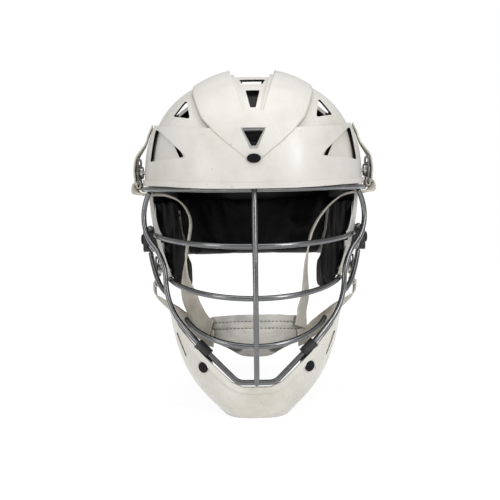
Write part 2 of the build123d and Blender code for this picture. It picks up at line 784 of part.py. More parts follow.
brow_pad -= front_rod(pocket_radius, cap_z, cap_y - 13.5, 170)
temple_pad_left -= side_rod(pocket_radius, upper_stud_y, upper_stud_z, 150, upper_nut_x - 3)
jaw_pad_left -= side_rod(pocket_radius, clip_y, clip_z, 150, clip_nut_x - 1.5)
jaw_pad_left -= side_rod(pocket_radius, lower_stud_y, lower_stud_z, 150, lower_nut_x - 3)

parts = {
    "front_screw": front_screw.part,
    "chin_clip_left": chin_clip_left.part,
    "chin_screw_left": chin_screw_left.part,
    "chin_guard": chin_guard.part,
    "mask_return_left": mask_return_left,
    "mask_jaw_wire_left": mask_jaw_wire_left,
    "mask_clip_left": mask_clip_left.part,
    "mask_screw_left": mask_screw_left,
    "chin_cup": chin_cup.part,
    "chin_cup_pad": chin_cup_pad.part,
    "upper_stud_left": upper_stud_left,
    "upper_buckle_left": upper_buckle_left,
    "lower_stud_left": lower_stud_left,
    "lower_buckle_left": lower_buckle_left,
    "upper_strap_left": upper_strap_left,
    "lower_strap_left": lower_strap_left.part,
    "brow_pad": brow_pad,
    "temple_pad_left": temple_pad_left,
    "jaw_pad_left": jaw_pad_left,
    "rear_pad": rear_pad,
    "front_top_pad": front_top_pad,
    "crown_top_pad": crown_top_pad,
    "rear_top_pad": rear_top_pad,
    "side_top_pad_left": side_top_pad_left,
    "crown_shell": crown_shell.part,
    "visor": visor.part,
    "mask_side_wire": mask_side_wire,
    "mask_upper_bar": mask_upper_bar,
    "mask_middle_bar": mask_middle_bar,
    "mask_lower_bar": mask_lower_bar,
    "mask_centre_bar": mask_centre_bar,
    "mask_top_bar": mask_top_bar,
}
for name in [key for key in parts if key.endswith("_left")]:
    parts[name.replace("_left", "_right")] = other_side(parts[name])
parts["upper_strap_right"] = upper_strap_right
for name, solid in parts.items():
    solid.label = name
    export_step(solid, f"parts/{name}.step")
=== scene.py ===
from math import cos, pi, radians, sin, sqrt

import bmesh
import bpy
from mathutils import Matrix, Vector, noise


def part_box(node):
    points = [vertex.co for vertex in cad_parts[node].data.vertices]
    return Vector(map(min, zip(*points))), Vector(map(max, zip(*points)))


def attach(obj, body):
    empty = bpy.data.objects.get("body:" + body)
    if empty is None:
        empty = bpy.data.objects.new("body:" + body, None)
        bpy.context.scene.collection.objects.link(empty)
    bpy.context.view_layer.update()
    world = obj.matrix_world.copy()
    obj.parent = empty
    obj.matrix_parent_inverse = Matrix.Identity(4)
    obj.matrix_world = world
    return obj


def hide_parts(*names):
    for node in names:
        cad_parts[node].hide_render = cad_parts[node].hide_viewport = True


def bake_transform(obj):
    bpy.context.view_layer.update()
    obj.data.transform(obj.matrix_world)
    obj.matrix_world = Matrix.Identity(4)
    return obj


# Field sport helmet with face guard. Metres, +Z up, the face looks towards -Y.
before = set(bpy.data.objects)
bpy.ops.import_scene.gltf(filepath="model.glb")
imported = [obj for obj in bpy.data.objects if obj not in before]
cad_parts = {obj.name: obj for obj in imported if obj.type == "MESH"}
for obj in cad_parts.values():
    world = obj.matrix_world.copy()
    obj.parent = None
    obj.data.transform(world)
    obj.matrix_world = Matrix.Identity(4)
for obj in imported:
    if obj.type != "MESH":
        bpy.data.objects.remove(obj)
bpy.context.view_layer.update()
scene = bpy.context.scene
mm = 0.001
print("frame loaded:", len(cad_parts), "nodes")


# shader helpers
def addNode(tree, kind, inputs=None, **settings):
    node = tree.nodes.new(kind)
    for name, value in settings.items():
        setattr(node, name, value)
    for name, value in (inputs or {}).items():
        if isinstance(value, bpy.types.NodeSocket):
            tree.links.new(value, node.inputs[name])
        else:
            node.inputs[name].default_value = value
    return node


def newMaterial(name, color, roughness, metallic=0.0, **sockets):
    material = bpy.data.materials.new(name)
    material.use_nodes = True
    tree = material.node_tree
    shader = tree.nodes["Principled BSDF"]
    shader.inputs["Base Color"].default_value = (*color, 1)
    shader.inputs["Roughness"].default_value = roughness
    shader.inputs["Metallic"].default_value = metallic
    for socket, value in sockets.items():
        shader.inputs[socket.replace("_", " ")].default_value = value
    return material, tree, shader


def objectPoint(tree):
    return addNode(tree, "ShaderNodeTexCoord").outputs["Object"]


def stretched(tree, point, scale, turn=(0, 0, 0)):
    inputs = {"Vector": point, "Scale": scale, "Rotation": turn}
    return addNode(tree, "ShaderNodeMapping", inputs).outputs["Vector"]


def cloudy(tree, point, scale, detail=3.0, rough=0.55):
    inputs = {"Vector": point, "Scale": scale, "Detail": detail, "Roughness": rough}
    return addNode(tree, "ShaderNodeTexNoise", inputs).outputs["Fac"]


def ramp(tree, factor, low, high, start=0.0, end=1.0):
    inputs = {"Value": factor, "From Min": low, "From Max": high, "To Min": start, "To Max": end}
    return addNode(tree, "ShaderNodeMapRange", inputs).outputs["Result"]


def maths(tree, operation, first, second=0.0):
    node = addNode(tree, "ShaderNodeMath", operation=operation)
    for index, value in enumerate((first, second)):
        if isinstance(value, bpy.types.NodeSocket):
            tree.links.new(value, node.inputs[index])
        else:
            node.inputs[index].default_value = value
    return node.outputs["Value"]


# places of the colour sockets on the mix node
mixSocket = {"factor": 0, "under": 6, "over": 7, "result": 2}


def mixColors(tree, factor, under, over):
    node = addNode(tree, "ShaderNodeMix", data_type="RGBA")
    for name, value in (("factor", factor), ("under", under), ("over", over)):
        socket = node.inputs[mixSocket[name]]
        if isinstance(value, bpy.types.NodeSocket):
            tree.links.new(value, socket)
        elif name == "factor":
            socket.default_value = value
        else:
            socket.default_value = (*value, 1)
    return node.outputs[mixSocket["result"]]


def addBump(tree, shader, height, strength, distance):
    inputs = {"Height": height, "Strength": strength, "Distance": distance}
    bump = addNode(tree, "ShaderNodeBump", inputs)
    last = shader.inputs["Normal"]
    if last.is_linked:
        tree.links.new(last.links[0].from_socket, bump.inputs["Normal"])
    tree.links.new(bump.outputs["Normal"], last)


def patches(tree, point, detail, low, high, scale=1.0, rough=0.55, stretch=None, turn=(0, 0, 0), **levels):
    # cloudy noise, cut off between two of its levels
    if stretch:
        point = stretched(tree, point, stretch, turn)
    return ramp(tree, cloudy(tree, point, scale, detail, rough), low, high, **levels)


def grainBump(tree, shader, point, scale, detail, strength, distance):
    addBump(tree, shader, cloudy(tree, point, scale, detail), strength, distance)


def linkTone(tree, shader, tone):
    tree.links.new(tone, shader.inputs["Base Color"])


# materials
paint = {
    "shell": (0.70, 0.685, 0.64),
    "shellShade": (0.61, 0.59, 0.525),
    # painted shade for the seam along the crest's beak
    "shellSeamPaintedShade": (0.36, 0.33, 0.27),
    "ventRim": (0.40, 0.41, 0.40),
    "scuff": (0.24, 0.20, 0.15),
    "guard": (0.745, 0.725, 0.665),
    "guardShade": (0.64, 0.61, 0.53),
    "wire": (0.16, 0.163, 0.167),
    "wireWorn": (0.33, 0.33, 0.33),
    "clip": (0.014, 0.014, 0.015),
    "clipDust": (0.06, 0.058, 0.055),
    "screw": (0.022, 0.022, 0.025),
    "snap": (0.62, 0.61, 0.58),
    "buckle": (0.19, 0.185, 0.18),
    "webbing": (0.66, 0.625, 0.55),
    "webbingShade": (0.44, 0.40, 0.33),
    "hide": (0.64, 0.62, 0.57),
    "hideShade": (0.42, 0.41, 0.40),
    # painted shade for the chin cup's hollows
    "hollowPaintedShade": (0.15, 0.145, 0.135),
    "lining": (0.46, 0.445, 0.41),
    "thread": (0.13, 0.105, 0.075),
    "liner": (0.0035, 0.0035, 0.0038),
    "linerDust": (0.012, 0.012, 0.012),
}

# the stepped rim round the front vent, by its place on the brow
frontRim = {"low": 0.2335, "high": 0.2525, "lowHalf": 0.0032, "highHalf": 0.0112, "frontY": -0.1}

# the edge where the crest's beak lies on the visor, drawn as a thin line of painted shade and a shallow
# bump: rows of height and half width
beak = {
    "edge": [
        (0.2258, 0.0074),
        (0.2392, 0.0234),
        (0.2507, 0.0353),
        (0.2630, 0.0450),
        (0.2758, 0.0502),
        (0.294, 0.0559),
    ],
    "sharp": 0.0004,
    "faded": 0.0013,
    "frontY": -0.06,
}

# the inner wall above the ears, which is lined in black like the pads
innerWall = {"centre": (0, 0.004, 0.205), "facing": (-0.25, -0.35), "floor": (0.196, 0.198)}


def rimMask(tree, point):
    split = addNode(tree, "ShaderNodeSeparateXYZ", {"Vector": point})
    height = split.outputs["Z"]
    width = ramp(tree, height, frontRim["low"], frontRim["high"], frontRim["lowHalf"], frontRim["highHalf"])
    inside = maths(tree, "LESS_THAN", maths(tree, "ABSOLUTE", split.outputs["X"]), width)
    low = maths(tree, "GREATER_THAN", height, frontRim["low"])
    high = maths(tree, "LESS_THAN", height, frontRim["high"])
    front = maths(tree, "LESS_THAN", split.outputs["Y"], frontRim["frontY"])
    band = maths(tree, "MULTIPLY", low, high)
    return maths(tree, "MULTIPLY", maths(tree, "MULTIPLY", inside, front), band)


def beakMask(tree, point):
    split = addNode(tree, "ShaderNodeSeparateXYZ", {"Vector": point})
    edge = beak["edge"]
    width = edge[0][1]
    for (low, near), (high, far) in zip(edge, edge[1:]):
        width = maths(tree, "ADD", ramp(tree, split.outputs["Z"], low, high, 0, far - near), width)
    off = maths(tree, "SUBTRACT", maths(tree, "ABSOLUTE", split.outputs["X"]), width)
    line = ramp(tree, maths(tree, "ABSOLUTE", off), beak["sharp"], beak["faded"], 1, 0)
    low = maths(tree, "GREATER_THAN", split.outputs["Z"], edge[0][0])
    front = maths(tree, "LESS_THAN", split.outputs["Y"], beak["frontY"])
    return maths(tree, "MULTIPLY", line, maths(tree, "MULTIPLY", low, front))


def insideMask(tree, point):
    inputs = {0: point, 1: innerWall["centre"]}
    centred = addNode(tree, "ShaderNodeVectorMath", inputs, operation="SUBTRACT").outputs["Vector"]
    outward = addNode(tree, "ShaderNodeVectorMath", {0: centred}, operation="NORMALIZE").outputs["Vector"]
    normal = addNode(tree, "ShaderNodeNewGeometry").outputs["True Normal"]
    inputs = {0: outward, 1: normal}
    facing = addNode(tree, "ShaderNodeVectorMath", inputs, operation="DOT_PRODUCT").outputs["Value"]
    height = addNode(tree, "ShaderNodeSeparateXYZ", {"Vector": point}).outputs["Z"]
    inner = ramp(tree, facing, *innerWall["facing"])
    return maths(tree, "MULTIPLY", inner, ramp(tree, height, *innerWall["floor"]))


# moulded plastic: faint waviness, dust in soft patches, fine scratches and chips
plastic = {
    "coat": 0.18,
    "coatRoughness": 0.22,
    "dust": {"scale": 26, "detail": 4, "low": 0.45, "high": 0.75},
    "scratchLine": {
        "stretch": (900, 60, 130), "turn": (0.5, 0.3, 0.8), "detail": 2, "low": 0.68, "high": 0.75,
    },
    "scratchArea": {"scale": 34, "detail": 2, "low": 0.55, "high": 0.68},
    "specks": {"scale": 380, "detail": 2, "low": 0.715, "high": 0.75},
    "smears": {
        "stretch": (26, 26, 90), "turn": (0.2, 0.5, 0.1), "detail": 5, "rough": 0.6,
        "low": 0.56, "high": 0.74, "end": 0.35,
    },
    "dull": {"scale": 70, "detail": 5, "low": 0.3, "high": 0.75},
    "dullSpan": (-0.06, 0.14),
    "markDull": 0.3,
    "seamShade": 0.5,
    "seamBump": {"strength": 0.5, "distance": -0.0006},
    "fineBump": {"scale": 900, "detail": 2, "strength": 0.06, "distance": 0.0006},
    "waveBump": {"scale": 45, "detail": 2, "strength": 0.05, "distance": 0.004},
    "markBump": {"strength": 0.25, "distance": -0.0004},
}


def mouldedPlastic(name, color, shade, roughness, scuffs, isShell=False):
    sockets = {"Coat_Weight": plastic["coat"], "Coat_Roughness": plastic["coatRoughness"]}
    material, tree, shader = newMaterial(name, color, roughness, **sockets)
    point = objectPoint(tree)
    tone = mixColors(tree, patches(tree, point, **plastic["dust"]), color, shade)
    scratchLine = patches(tree, point, **plastic["scratchLine"])
    scratches = maths(tree, "MULTIPLY", scratchLine, patches(tree, point, **plastic["scratchArea"]))
    specks = patches(tree, point, **plastic["specks"])
    marks = maths(tree, "MULTIPLY", maths(tree, "MAXIMUM", scratches, specks), scuffs)
    tone = mixColors(tree, patches(tree, point, **plastic["smears"]), tone, shade)
    tone = mixColors(tree, marks, tone, paint["scuff"])
    if isShell:
        # painted shade: a thin dark line along the beak's edge, standing in for the shade in the seam
        seam = beakMask(tree, point)
        paintedSeamShade = maths(tree, "MULTIPLY", seam, plastic["seamShade"])
        tone = mixColors(tree, paintedSeamShade, tone, paint["shellSeamPaintedShade"])
        tone = mixColors(tree, rimMask(tree, point), tone, paint["ventRim"])
        addBump(tree, shader, seam, **plastic["seamBump"])
        tone = mixColors(tree, insideMask(tree, point), tone, paint["liner"])
    linkTone(tree, shader, tone)
    low, high = [roughness + step for step in plastic["dullSpan"]]
    dull = patches(tree, point, **plastic["dull"], start=low, end=high)
    dull = maths(tree, "ADD", dull, maths(tree, "MULTIPLY", marks, plastic["markDull"]))
    tree.links.new(dull, shader.inputs["Roughness"])
    grainBump(tree, shader, point, **plastic["fineBump"])
    grainBump(tree, shader, point, **plastic["waveBump"])
    addBump(tree, shader, marks, **plastic["markBump"])
    return material


# satin coated steel wire, rubbed brighter here and there
coating = {
    "roughness": 0.22,
    "coat": 0.7,
    "coatRoughness": 0.06,
    "worn": {"scale": 55, "detail": 6, "rough": 0.65, "low": 0.52, "high": 0.72},
    "fine": {"scale": 700, "detail": 3, "low": 0.35, "high": 0.7},
    "wornSpan": (0.25, 0.16),
    "bump": {"scale": 1400, "detail": 3, "strength": 0.02, "distance": 0.0002},
}


def coatedWire(name):
    sockets = {"Coat_Weight": coating["coat"], "Coat_Roughness": coating["coatRoughness"]}
    material, tree, shader = newMaterial(name, paint["wire"], coating["roughness"], 1.0, **sockets)
    point = objectPoint(tree)
    worn = patches(tree, point, **coating["worn"])
    fine = patches(tree, point, **coating["fine"])
    bright = maths(tree, "MULTIPLY", worn, fine)
    linkTone(tree, shader, mixColors(tree, bright, paint["wire"], paint["wireWorn"]))
    tree.links.new(ramp(tree, worn, 0, 1, *coating["wornSpan"]), shader.inputs["Roughness"])
    grainBump(tree, shader, point, **coating["bump"])
    return material


# bare metal with smudges and a brushed grain
metal = {
    "smudge": {"scale": 150, "detail": 4, "low": 0.4, "high": 0.7},
    "smudgeShade": 0.72,
    "dull": {"scale": 500, "detail": 4, "low": 0.3, "high": 0.7},
    "dullSpan": (-0.08, 0.1),
    "brushStretch": (4000, 4000, 260),
    "brushDetail": 2,
    "brushDepth": 0.0002,
}


def plainMetal(name, color, roughness, grain):
    material, tree, shader = newMaterial(name, color, roughness, 1.0)
    point = objectPoint(tree)
    smudge = patches(tree, point, **metal["smudge"])
    shade = [value * metal["smudgeShade"] for value in color]
    linkTone(tree, shader, mixColors(tree, smudge, color, shade))
    low, high = [roughness + step for step in metal["dullSpan"]]
    dull = patches(tree, point, **metal["dull"], start=low, end=high)
    tree.links.new(dull, shader.inputs["Roughness"])
    brushed = cloudy(tree, stretched(tree, point, metal["brushStretch"]), 1.0, metal["brushDetail"])
    addBump(tree, shader, brushed, grain, metal["brushDepth"])
    return material


# moulded rubber with a little dust
rubber = {
    "roughness": 0.5,
    "dust": {"scale": 120, "detail": 5, "low": 0.5, "high": 0.8},
    "bump": {"scale": 2200, "detail": 2, "strength": 0.2, "distance": 0.0002},
}


def mouldedRubber(name):
    material, tree, shader = newMaterial(name, paint["clip"], rubber["roughness"])
    point = objectPoint(tree)
    dust = patches(tree, point, **rubber["dust"])
    linkTone(tree, shader, mixColors(tree, dust, paint["clip"], paint["clipDust"]))
    grainBump(tree, shader, point, **rubber["bump"])
    return material


# webbing: the pattern runs on the strap's own UV map, which is in metres along and across
weave = {
    "roughness": 0.85,
    "sheen": 0.25,
    "ribPitch": 0.0017,
    "cordPitch": 0.0013,
    "slant": 0.5,
    "grime": {"scale": 60, "detail": 5, "low": 0.42, "high": 0.72},
    "shadow": {"low": 0.2, "high": 0.55, "start": 0.35, "end": 0},
    "bump": {"strength": 0.55, "distance": 0.0004},
}


def wovenWebbing(name):
    sockets = {"Sheen_Weight": weave["sheen"]}
    material, tree, shader = newMaterial(name, paint["webbing"], weave["roughness"], **sockets)
    uv = addNode(tree, "ShaderNodeUVMap", uv_map="alongStrap").outputs["UV"]
    split = addNode(tree, "ShaderNodeSeparateXYZ", {"Vector": uv})
    along, across = split.outputs["X"], split.outputs["Y"]
    ribs = maths(tree, "SINE", maths(tree, "MULTIPLY", along, 2 * pi / weave["ribPitch"]))
    slant = maths(tree, "ADD", across, maths(tree, "MULTIPLY", along, weave["slant"]))
    cords = maths(tree, "SINE", maths(tree, "MULTIPLY", slant, 2 * pi / weave["cordPitch"]))
    threads = ramp(tree, maths(tree, "MULTIPLY", ribs, cords), -1, 1)
    grime = patches(tree, objectPoint(tree), **weave["grime"])
    tone = mixColors(tree, grime, paint["webbing"], paint["webbingShade"])
    shadow = ramp(tree, threads, **weave["shadow"])
    linkTone(tree, shader, mixColors(tree, shadow, tone, paint["webbingShade"]))
    addBump(tree, shader, threads, **weave["bump"])
    return material


# synthetic leather: pebbled grain with soft creases, grey rubbed patches and painted shade in the cup's
# hollows
leather = {
    "grainScale": 900,
    "creases": {"stretch": (60, 60, 190), "detail": 6, "rough": 0.7, "low": 0.4, "high": 0.62},
    "rubbed": {"scale": 42, "detail": 5, "low": 0.48, "high": 0.72},
    "dullSpan": (0.1, -0.08),
    "grainBump": {"strength": 0.35, "distance": 0.0006},
    "creaseBump": {"strength": 0.3, "distance": 0.0012},
}


def stitchedHide(name, color, shade, roughness):
    material, tree, shader = newMaterial(name, color, roughness)
    point = objectPoint(tree)
    inputs = {"Vector": point, "Scale": leather["grainScale"]}
    grain = addNode(tree, "ShaderNodeTexVoronoi", inputs, feature="DISTANCE_TO_EDGE").outputs["Distance"]
    creases = patches(tree, point, **leather["creases"])
    tone = mixColors(tree, patches(tree, point, **leather["rubbed"]), color, shade)
    # painted shade: darker where the mesh's weight marks a hollow
    settings = {"attribute_name": "hollowPaintedShade", "attribute_type": "GEOMETRY"}
    hollowPaintedShade = addNode(tree, "ShaderNodeAttribute", **settings).outputs["Fac"]
    linkTone(tree, shader, mixColors(tree, hollowPaintedShade, tone, paint["hollowPaintedShade"]))
    low, high = [roughness + step for step in leather["dullSpan"]]
    tree.links.new(ramp(tree, creases, 0, 1, low, high), shader.inputs["Roughness"])
    addBump(tree, shader, grain, **leather["grainBump"])
    addBump(tree, shader, creases, **leather["creaseBump"])
    return material


# black brushed knit over foam, with a little lint
knit = {
    "roughness": 0.55,
    "specular": 0.35,
    "lint": {"scale": 90, "detail": 5, "low": 0.5, "high": 0.8},
    "loopScale": 750,
    "loopBump": {"strength": 0.4, "distance": 0.0005},
    "waveBump": {"scale": 60, "detail": 4, "strength": 0.4, "distance": 0.003},
}


def linerCloth(name):
    sockets = {"Specular_IOR_Level": knit["specular"]}
    material, tree, shader = newMaterial(name, paint["liner"], knit["roughness"], **sockets)
    point = objectPoint(tree)
    lint = patches(tree, point, **knit["lint"])
    linkTone(tree, shader, mixColors(tree, lint, paint["liner"], paint["linerDust"]))
    inputs = {"Vector": point, "Scale": knit["loopScale"]}
    loops = addNode(tree, "ShaderNodeTexVoronoi", inputs).outputs["Distance"]
    addBump(tree, shader, loops, **knit["loopBump"])
    grainBump(tree, shader, point, **knit["waveBump"])
    return material


# how rough each finish is, how much plastic is scuffed and how deep metal is brushed
finishes = {
    "shell": {"roughness": 0.36, "scuffs": 0.65, "isShell": True},
    "guard": {"roughness": 0.26, "scuffs": 0.8},
    "screw": {"roughness": 0.38, "grain": 0.1},
    "snap": {"roughness": 0.28, "grain": 0.1},
    "buckle": {"roughness": 0.3, "grain": 0.25},
    "hide": {"roughness": 0.5},
    "lining": {"roughness": 0.8},
    "thread": {"roughness": 0.7},
}
shellWhite = mouldedPlastic("shellWhite", paint["shell"], paint["shellShade"], **finishes["shell"])
guardCream = mouldedPlastic("guardCream", paint["guard"], paint["guardShade"], **finishes["guard"])
satinWire = coatedWire("satinWire")
clipBlack = mouldedRubber("clipBlack")
screwBlack = plainMetal("screwBlack", paint["screw"], **finishes["screw"])
snapSteel = plainMetal("snapSteel", paint["snap"], **finishes["snap"])
buckleSteel = plainMetal("buckleSteel", paint["buckle"], **finishes["buckle"])
webbing = wovenWebbing("webbing")
chinHide = stitchedHide("chinHide", paint["hide"], paint["hideShade"], **finishes["hide"])
chinLining = stitchedHide("chinLining", paint["lining"], paint["hideShade"], **finishes["lining"])
threadBrown = newMaterial("threadBrown", paint["thread"], **finishes["thread"])[0]
linerBlack = linerCloth("linerBlack")
print("materials made")

finishOf = {
    "crown_shell": shellWhite,
    "visor": shellWhite,
    "chin_guard": guardCream,
    "mask_clip": clipBlack,
    "chin_clip": clipBlack,
    "mask_screw": screwBlack,
    "chin_screw": screwBlack,
    "front_screw": screwBlack,
    "upper_stud": snapSteel,
    "lower_stud": snapSteel,
    "upper_buckle": buckleSteel,
    "lower_buckle": buckleSteel,
    "mask": satinWire,
}
for nodeName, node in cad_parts.items():
    for start, material in finishOf.items():
        if nodeName.startswith(start):
            node.data.materials.clear()
            node.data.materials.append(material)
            break


# mesh helpers
def addPiece(name, mesh, material, body, replaced=()):
    piece = bpy.data.objects.new(name, mesh)
    scene.collection.objects.link(piece)
    mesh.materials.clear()
    mesh.materials.append(material)
    if body:
        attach(piece, body)
    if replaced:
        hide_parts(*replaced)
    return piece


def newMesh(name, shape, smooth=True):
    mesh = bpy.data.meshes.new(name)
    for face in shape.faces:
        face.smooth = smooth
    shape.to_mesh(mesh)
    shape.free()
    return mesh


def applied(piece):
    # the mesh with its modifiers in it
    bpy.context.view_layer.update()
    graph = bpy.context.evaluated_depsgraph_get()
    mesh = bpy.data.meshes.new_from_object(piece.evaluated_get(graph))
    piece.modifiers.clear()
    old = piece.data
    piece.data = mesh
    bpy.data.meshes.remove(old)
    return piece


def uneven(across, up, reach, often, upOften, layer):
    # smooth noise up to its reach, by how often it turns across and up
    return reach * noise.noise(Vector((across * often, up * upOften, layer)))


# liner pads: foam under pressure, with pleats on the side pads
pads = {
    "mergeDistance": 1e-5,
    "voxel": 0.0045,
    "smoothRounds": 3,
    "smoothShare": 0.5,
    "shrink": 0.0012,
    "pressure": 4.0,
    "quality": 4,
    "stiffness": 25,
    "cap": 0.0035,
    "frames": 20,
    "spare": 0.0008,
}

pleats = {
    "width": 0.0095,
    "depth": 0.004,
    "narrowing": 1.7,
    "sharpness": 1.4,
    "wander": {"reach": 0.0022, "often": 40, "upOften": 22, "layer": 1},
    "puff": {"reach": 0.0008, "often": 0.6, "upOften": 60, "layer": 4},
}


def padMesh(nodeName):
    # closed copy of the CAD solid, remeshed evenly and drawn in a little
    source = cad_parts[nodeName]
    shape = bmesh.new()
    shape.from_mesh(source.data)
    bmesh.ops.remove_doubles(shape, verts=shape.verts, dist=pads["mergeDistance"])
    piece = bpy.data.objects.new(nodeName + "Foam", newMesh(nodeName + "Foam", shape))
    scene.collection.objects.link(piece)
    remesh = piece.modifiers.new("remesh", "REMESH")
    remesh.mode = "VOXEL"
    remesh.voxel_size = pads["voxel"]
    remesh.use_smooth_shade = True
    applied(piece)
    shape = bmesh.new()
    shape.from_mesh(piece.data)
    axes = {"use_axis_x": True, "use_axis_y": True, "use_axis_z": True}
    for _ in range(pads["smoothRounds"]):
        bmesh.ops.smooth_vert(shape, verts=shape.verts, factor=pads["smoothShare"], **axes)
    shape.normal_update()
    for vert in shape.verts:
        vert.co -= vert.normal * pads["shrink"]
    shape.to_mesh(piece.data)
    shape.free()
    return piece


def swell(piece):
    # the foam cover under pressure, with a limit on how far any point may move
    rest = [vert.co.copy() for vert in piece.data.vertices]
    cloth = piece.modifiers.new("swell", "CLOTH")
    settings = cloth.settings
    settings.quality = pads["quality"]
    settings.use_pressure = True
    settings.uniform_pressure_force = pads["pressure"]
    settings.effector_weights.gravity = 0
    settings.tension_stiffness = pads["stiffness"]
    settings.compression_stiffness = pads["stiffness"]
    cloth.point_cache.frame_start = 1
    cloth.point_cache.frame_end = pads["frames"]
    for step in range(1, pads["frames"] + 1):
        scene.frame_set(step)
    applied(piece)
    for vert, start in zip(piece.data.vertices, rest):
        move = vert.co - start
        if move.length > pads["cap"]:
            vert.co = start + move.normalized() * pads["cap"]
    scene.frame_set(1)


def keepInside(piece, nodeName):
    # stays inside the box of the solid that it stands for
    low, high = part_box(nodeName)
    spare = pads["spare"]
    for vert in piece.data.vertices:
        for axis in range(3):
            vert.co[axis] = min(max(vert.co[axis], low[axis] - spare), high[axis] + spare)


def fluted(piece):
    # upright pleats that run round from the front face to the inner one, wandering a little
    for vert in piece.data.vertices:
        along = vert.co.y - abs(vert.co.x)
        wander = uneven(along, vert.co.z, **pleats["wander"])
        share = (along + wander) / pleats["width"]
        near = abs(share - round(share)) * 2
        depth = pleats["depth"] * max(0.0, 1 - near * pleats["narrowing"]) ** pleats["sharpness"]
        vert.co -= vert.normal * (depth + uneven(share, vert.co.z, **pleats["puff"]))


def makePad(nodeName, material=linerBlack, body="helmet"):
    piece = padMesh(nodeName)
    swell(piece)
    subdivide = piece.modifiers.new("subdivide", "SUBSURF")
    subdivide.levels = subdivide.render_levels = 1
    applied(piece)
    if nodeName.startswith("jaw_pad"):
        fluted(piece)
    keepInside(piece, nodeName)
    piece.data.materials.clear()
    piece.data.materials.append(material)
    for face in piece.data.polygons:
        face.use_smooth = True
    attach(piece, body)
    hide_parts(nodeName)


padFill = {
    "brow_pad": 0.7,
    "rear_pad": 0.6,
    "front_top_pad": 0.6,
    "crown_top_pad": 0.6,
    "rear_top_pad": 0.6,
    "temple_pad_left": 0.7,
    "temple_pad_right": 0.7,
    "side_top_pad_left": 0.6,
    "side_top_pad_right": 0.6,
    "jaw_pad_left": 0.75,
    "jaw_pad_right": 0.75,
}
for nodeName, fill in padFill.items():
    makePad(nodeName)
print("liner pads made")

# webbing: each station is the middle of the strap in mm and the way its width lies;
# each bend is where the cup lets go of the strap and where the shell takes it up
straps = {
    "width": 16.0,
    "thickness": 1.5,
    "edge": 0.4,
    "edgeSteps": 2,
    "steps": 8,
    "acrossSteps": 6,
    "turnCorners": 12,
    "turnPower": 4,
    "turnSteps": 2,
    "upperLeft": [
        ((-41.5, -91.0, 76), (0.27, -0.23, 0.93)),
        ((-48.5, -83.5, 80), (0.45, -0.2, 0.85)),
        ((-56, -78.5, 90), (0.8, -0.2, 0.5)),
        ((-62, -76, 104), (0.9, -0.3, 0.1)),
        ((-66, -75, 123), (0.4, -0.9, 0)),
        ((-65, -72, 145), (0, -1, 0)),
        ((-61, -67, 172), (0, -1, 0)),
        ((-64, -65, 186), (0, -1, 0)),
        ((-72, -64.5, 196), (0, -1, 0)),
        ((-84, -64.5, 201.5), (0, -1, 0)),
    ],
    "upperRight": [
        ((-41.5, -91.0, 76.5), (0.27, -0.23, 0.93)),
        ((-42.8, -89.0, 84), (0.5, -0.6, 0.6)),
        ((-43.5, -86.0, 92), (0.52, -0.83, 0.2)),
        ((-46.8, -82.5, 105), (0.47, -0.88, 0)),
        ((-48.0, -78.0, 121), (0.3, -0.95, 0)),
        ((-49.0, -74.0, 135), (0.2, -1, 0)),
        ((-53.4, -69.5, 159), (0, -1, 0)),
        ((-57.2, -68.0, 169), (0, -1, 0)),
        ((-63.0, -67.0, 179), (0, -1, 0)),
        ((-72.3, -66.0, 190), (0, -1, 0)),
        ((-84.0, -65.0, 199), (0, -1, 0)),
    ],
    "rise": [
        ((-95, -64.8, 202.5), (0, -1, 0)),
        ((-106, -61.5, 203), (-0.2, -1, 0)),
        ((-112, -54.5, 205), (-0.3, -1, -0.2)),
        ((-115.8, -46.5, 211), (0, -1, 0)),
        ((-116.2, -46, 217), (0, -1, 0)),
        ((-117.0, -46, 227), (0, -1, 0)),
        ((-116.0, -46, 236), (0, -1, 0)),
        ((-114.7, -46, 241), (0.03, -1, 0)),
        ((-110.9, -45.7, 247), (0.08, -1, 0)),
        ((-106.4, -45.4, 254), (0.15, -1, 0)),
        ((-103.4, -44.6, 263), (0.15, -1, 0)),
        ((-99.9, -43.5, 272), (0.15, -1, 0)),
    ],
    "lower": [
        ((-39.2, -90.1, 66), (0.0, -0.1, 1)),
        ((-47.5, -80.6, 68), (-0.1, 0, 1)),
        ((-54, -72.4, 72), (-0.2, 0.1, 1)),
        ((-61, -66, 76.5), (-0.3, 0.1, 1)),
        ((-68, -60.5, 81.5), (-0.4, 0.1, 1)),
        ((-75, -55, 87), (-0.5, 0, 1)),
        ((-82.5, -49.5, 92), (-0.5, -0.3, 0.9)),
        ((-90.5, -44, 97), (-0.4, -0.6, 0.7)),
        ((-98.8, -40, 104), (0, -1, 0.3)),
        ((-100.6, -38, 116.3), (0, -1, 0)),
    ],
    "upperLoop": (-112.8, -46, 213.3),
    "lowerLoop": (-97.6, -38, 116.3),
    "loopHalf": (1.65, 3.1),
    "upperBend": [(-60, -75, 100), (-60, -75, 192)],
    "lowerBend": [(-42, -86, 66), (-95, -42, 100)],
}


def alongStations(stations, steps):
    # smooth line through the stations: each place and the way the width lies there
    places = [Vector(place) for place, width in stations]
    widths = [Vector(width).normalized() for place, width in stations]
    last = len(places) - 1
    samples = []
    for index in range(last * steps + 1):
        near = min(index // steps, last - 1)
        share = index / steps - near
        before, start = places[max(near - 1, 0)], places[near]
        end, after = places[near + 1], places[min(near + 2, last)]
        leave, arrive = (end - before) / 2, (after - start) / 2
        place = (
            start * (2 * share**3 - 3 * share**2 + 1)
            + leave * (share**3 - 2 * share**2 + share)
            + end * (3 * share**2 - 2 * share**3)
            + arrive * (share**3 - share**2)
        )
        samples.append((place, widths[near].lerp(widths[near + 1], share)))
    return samples


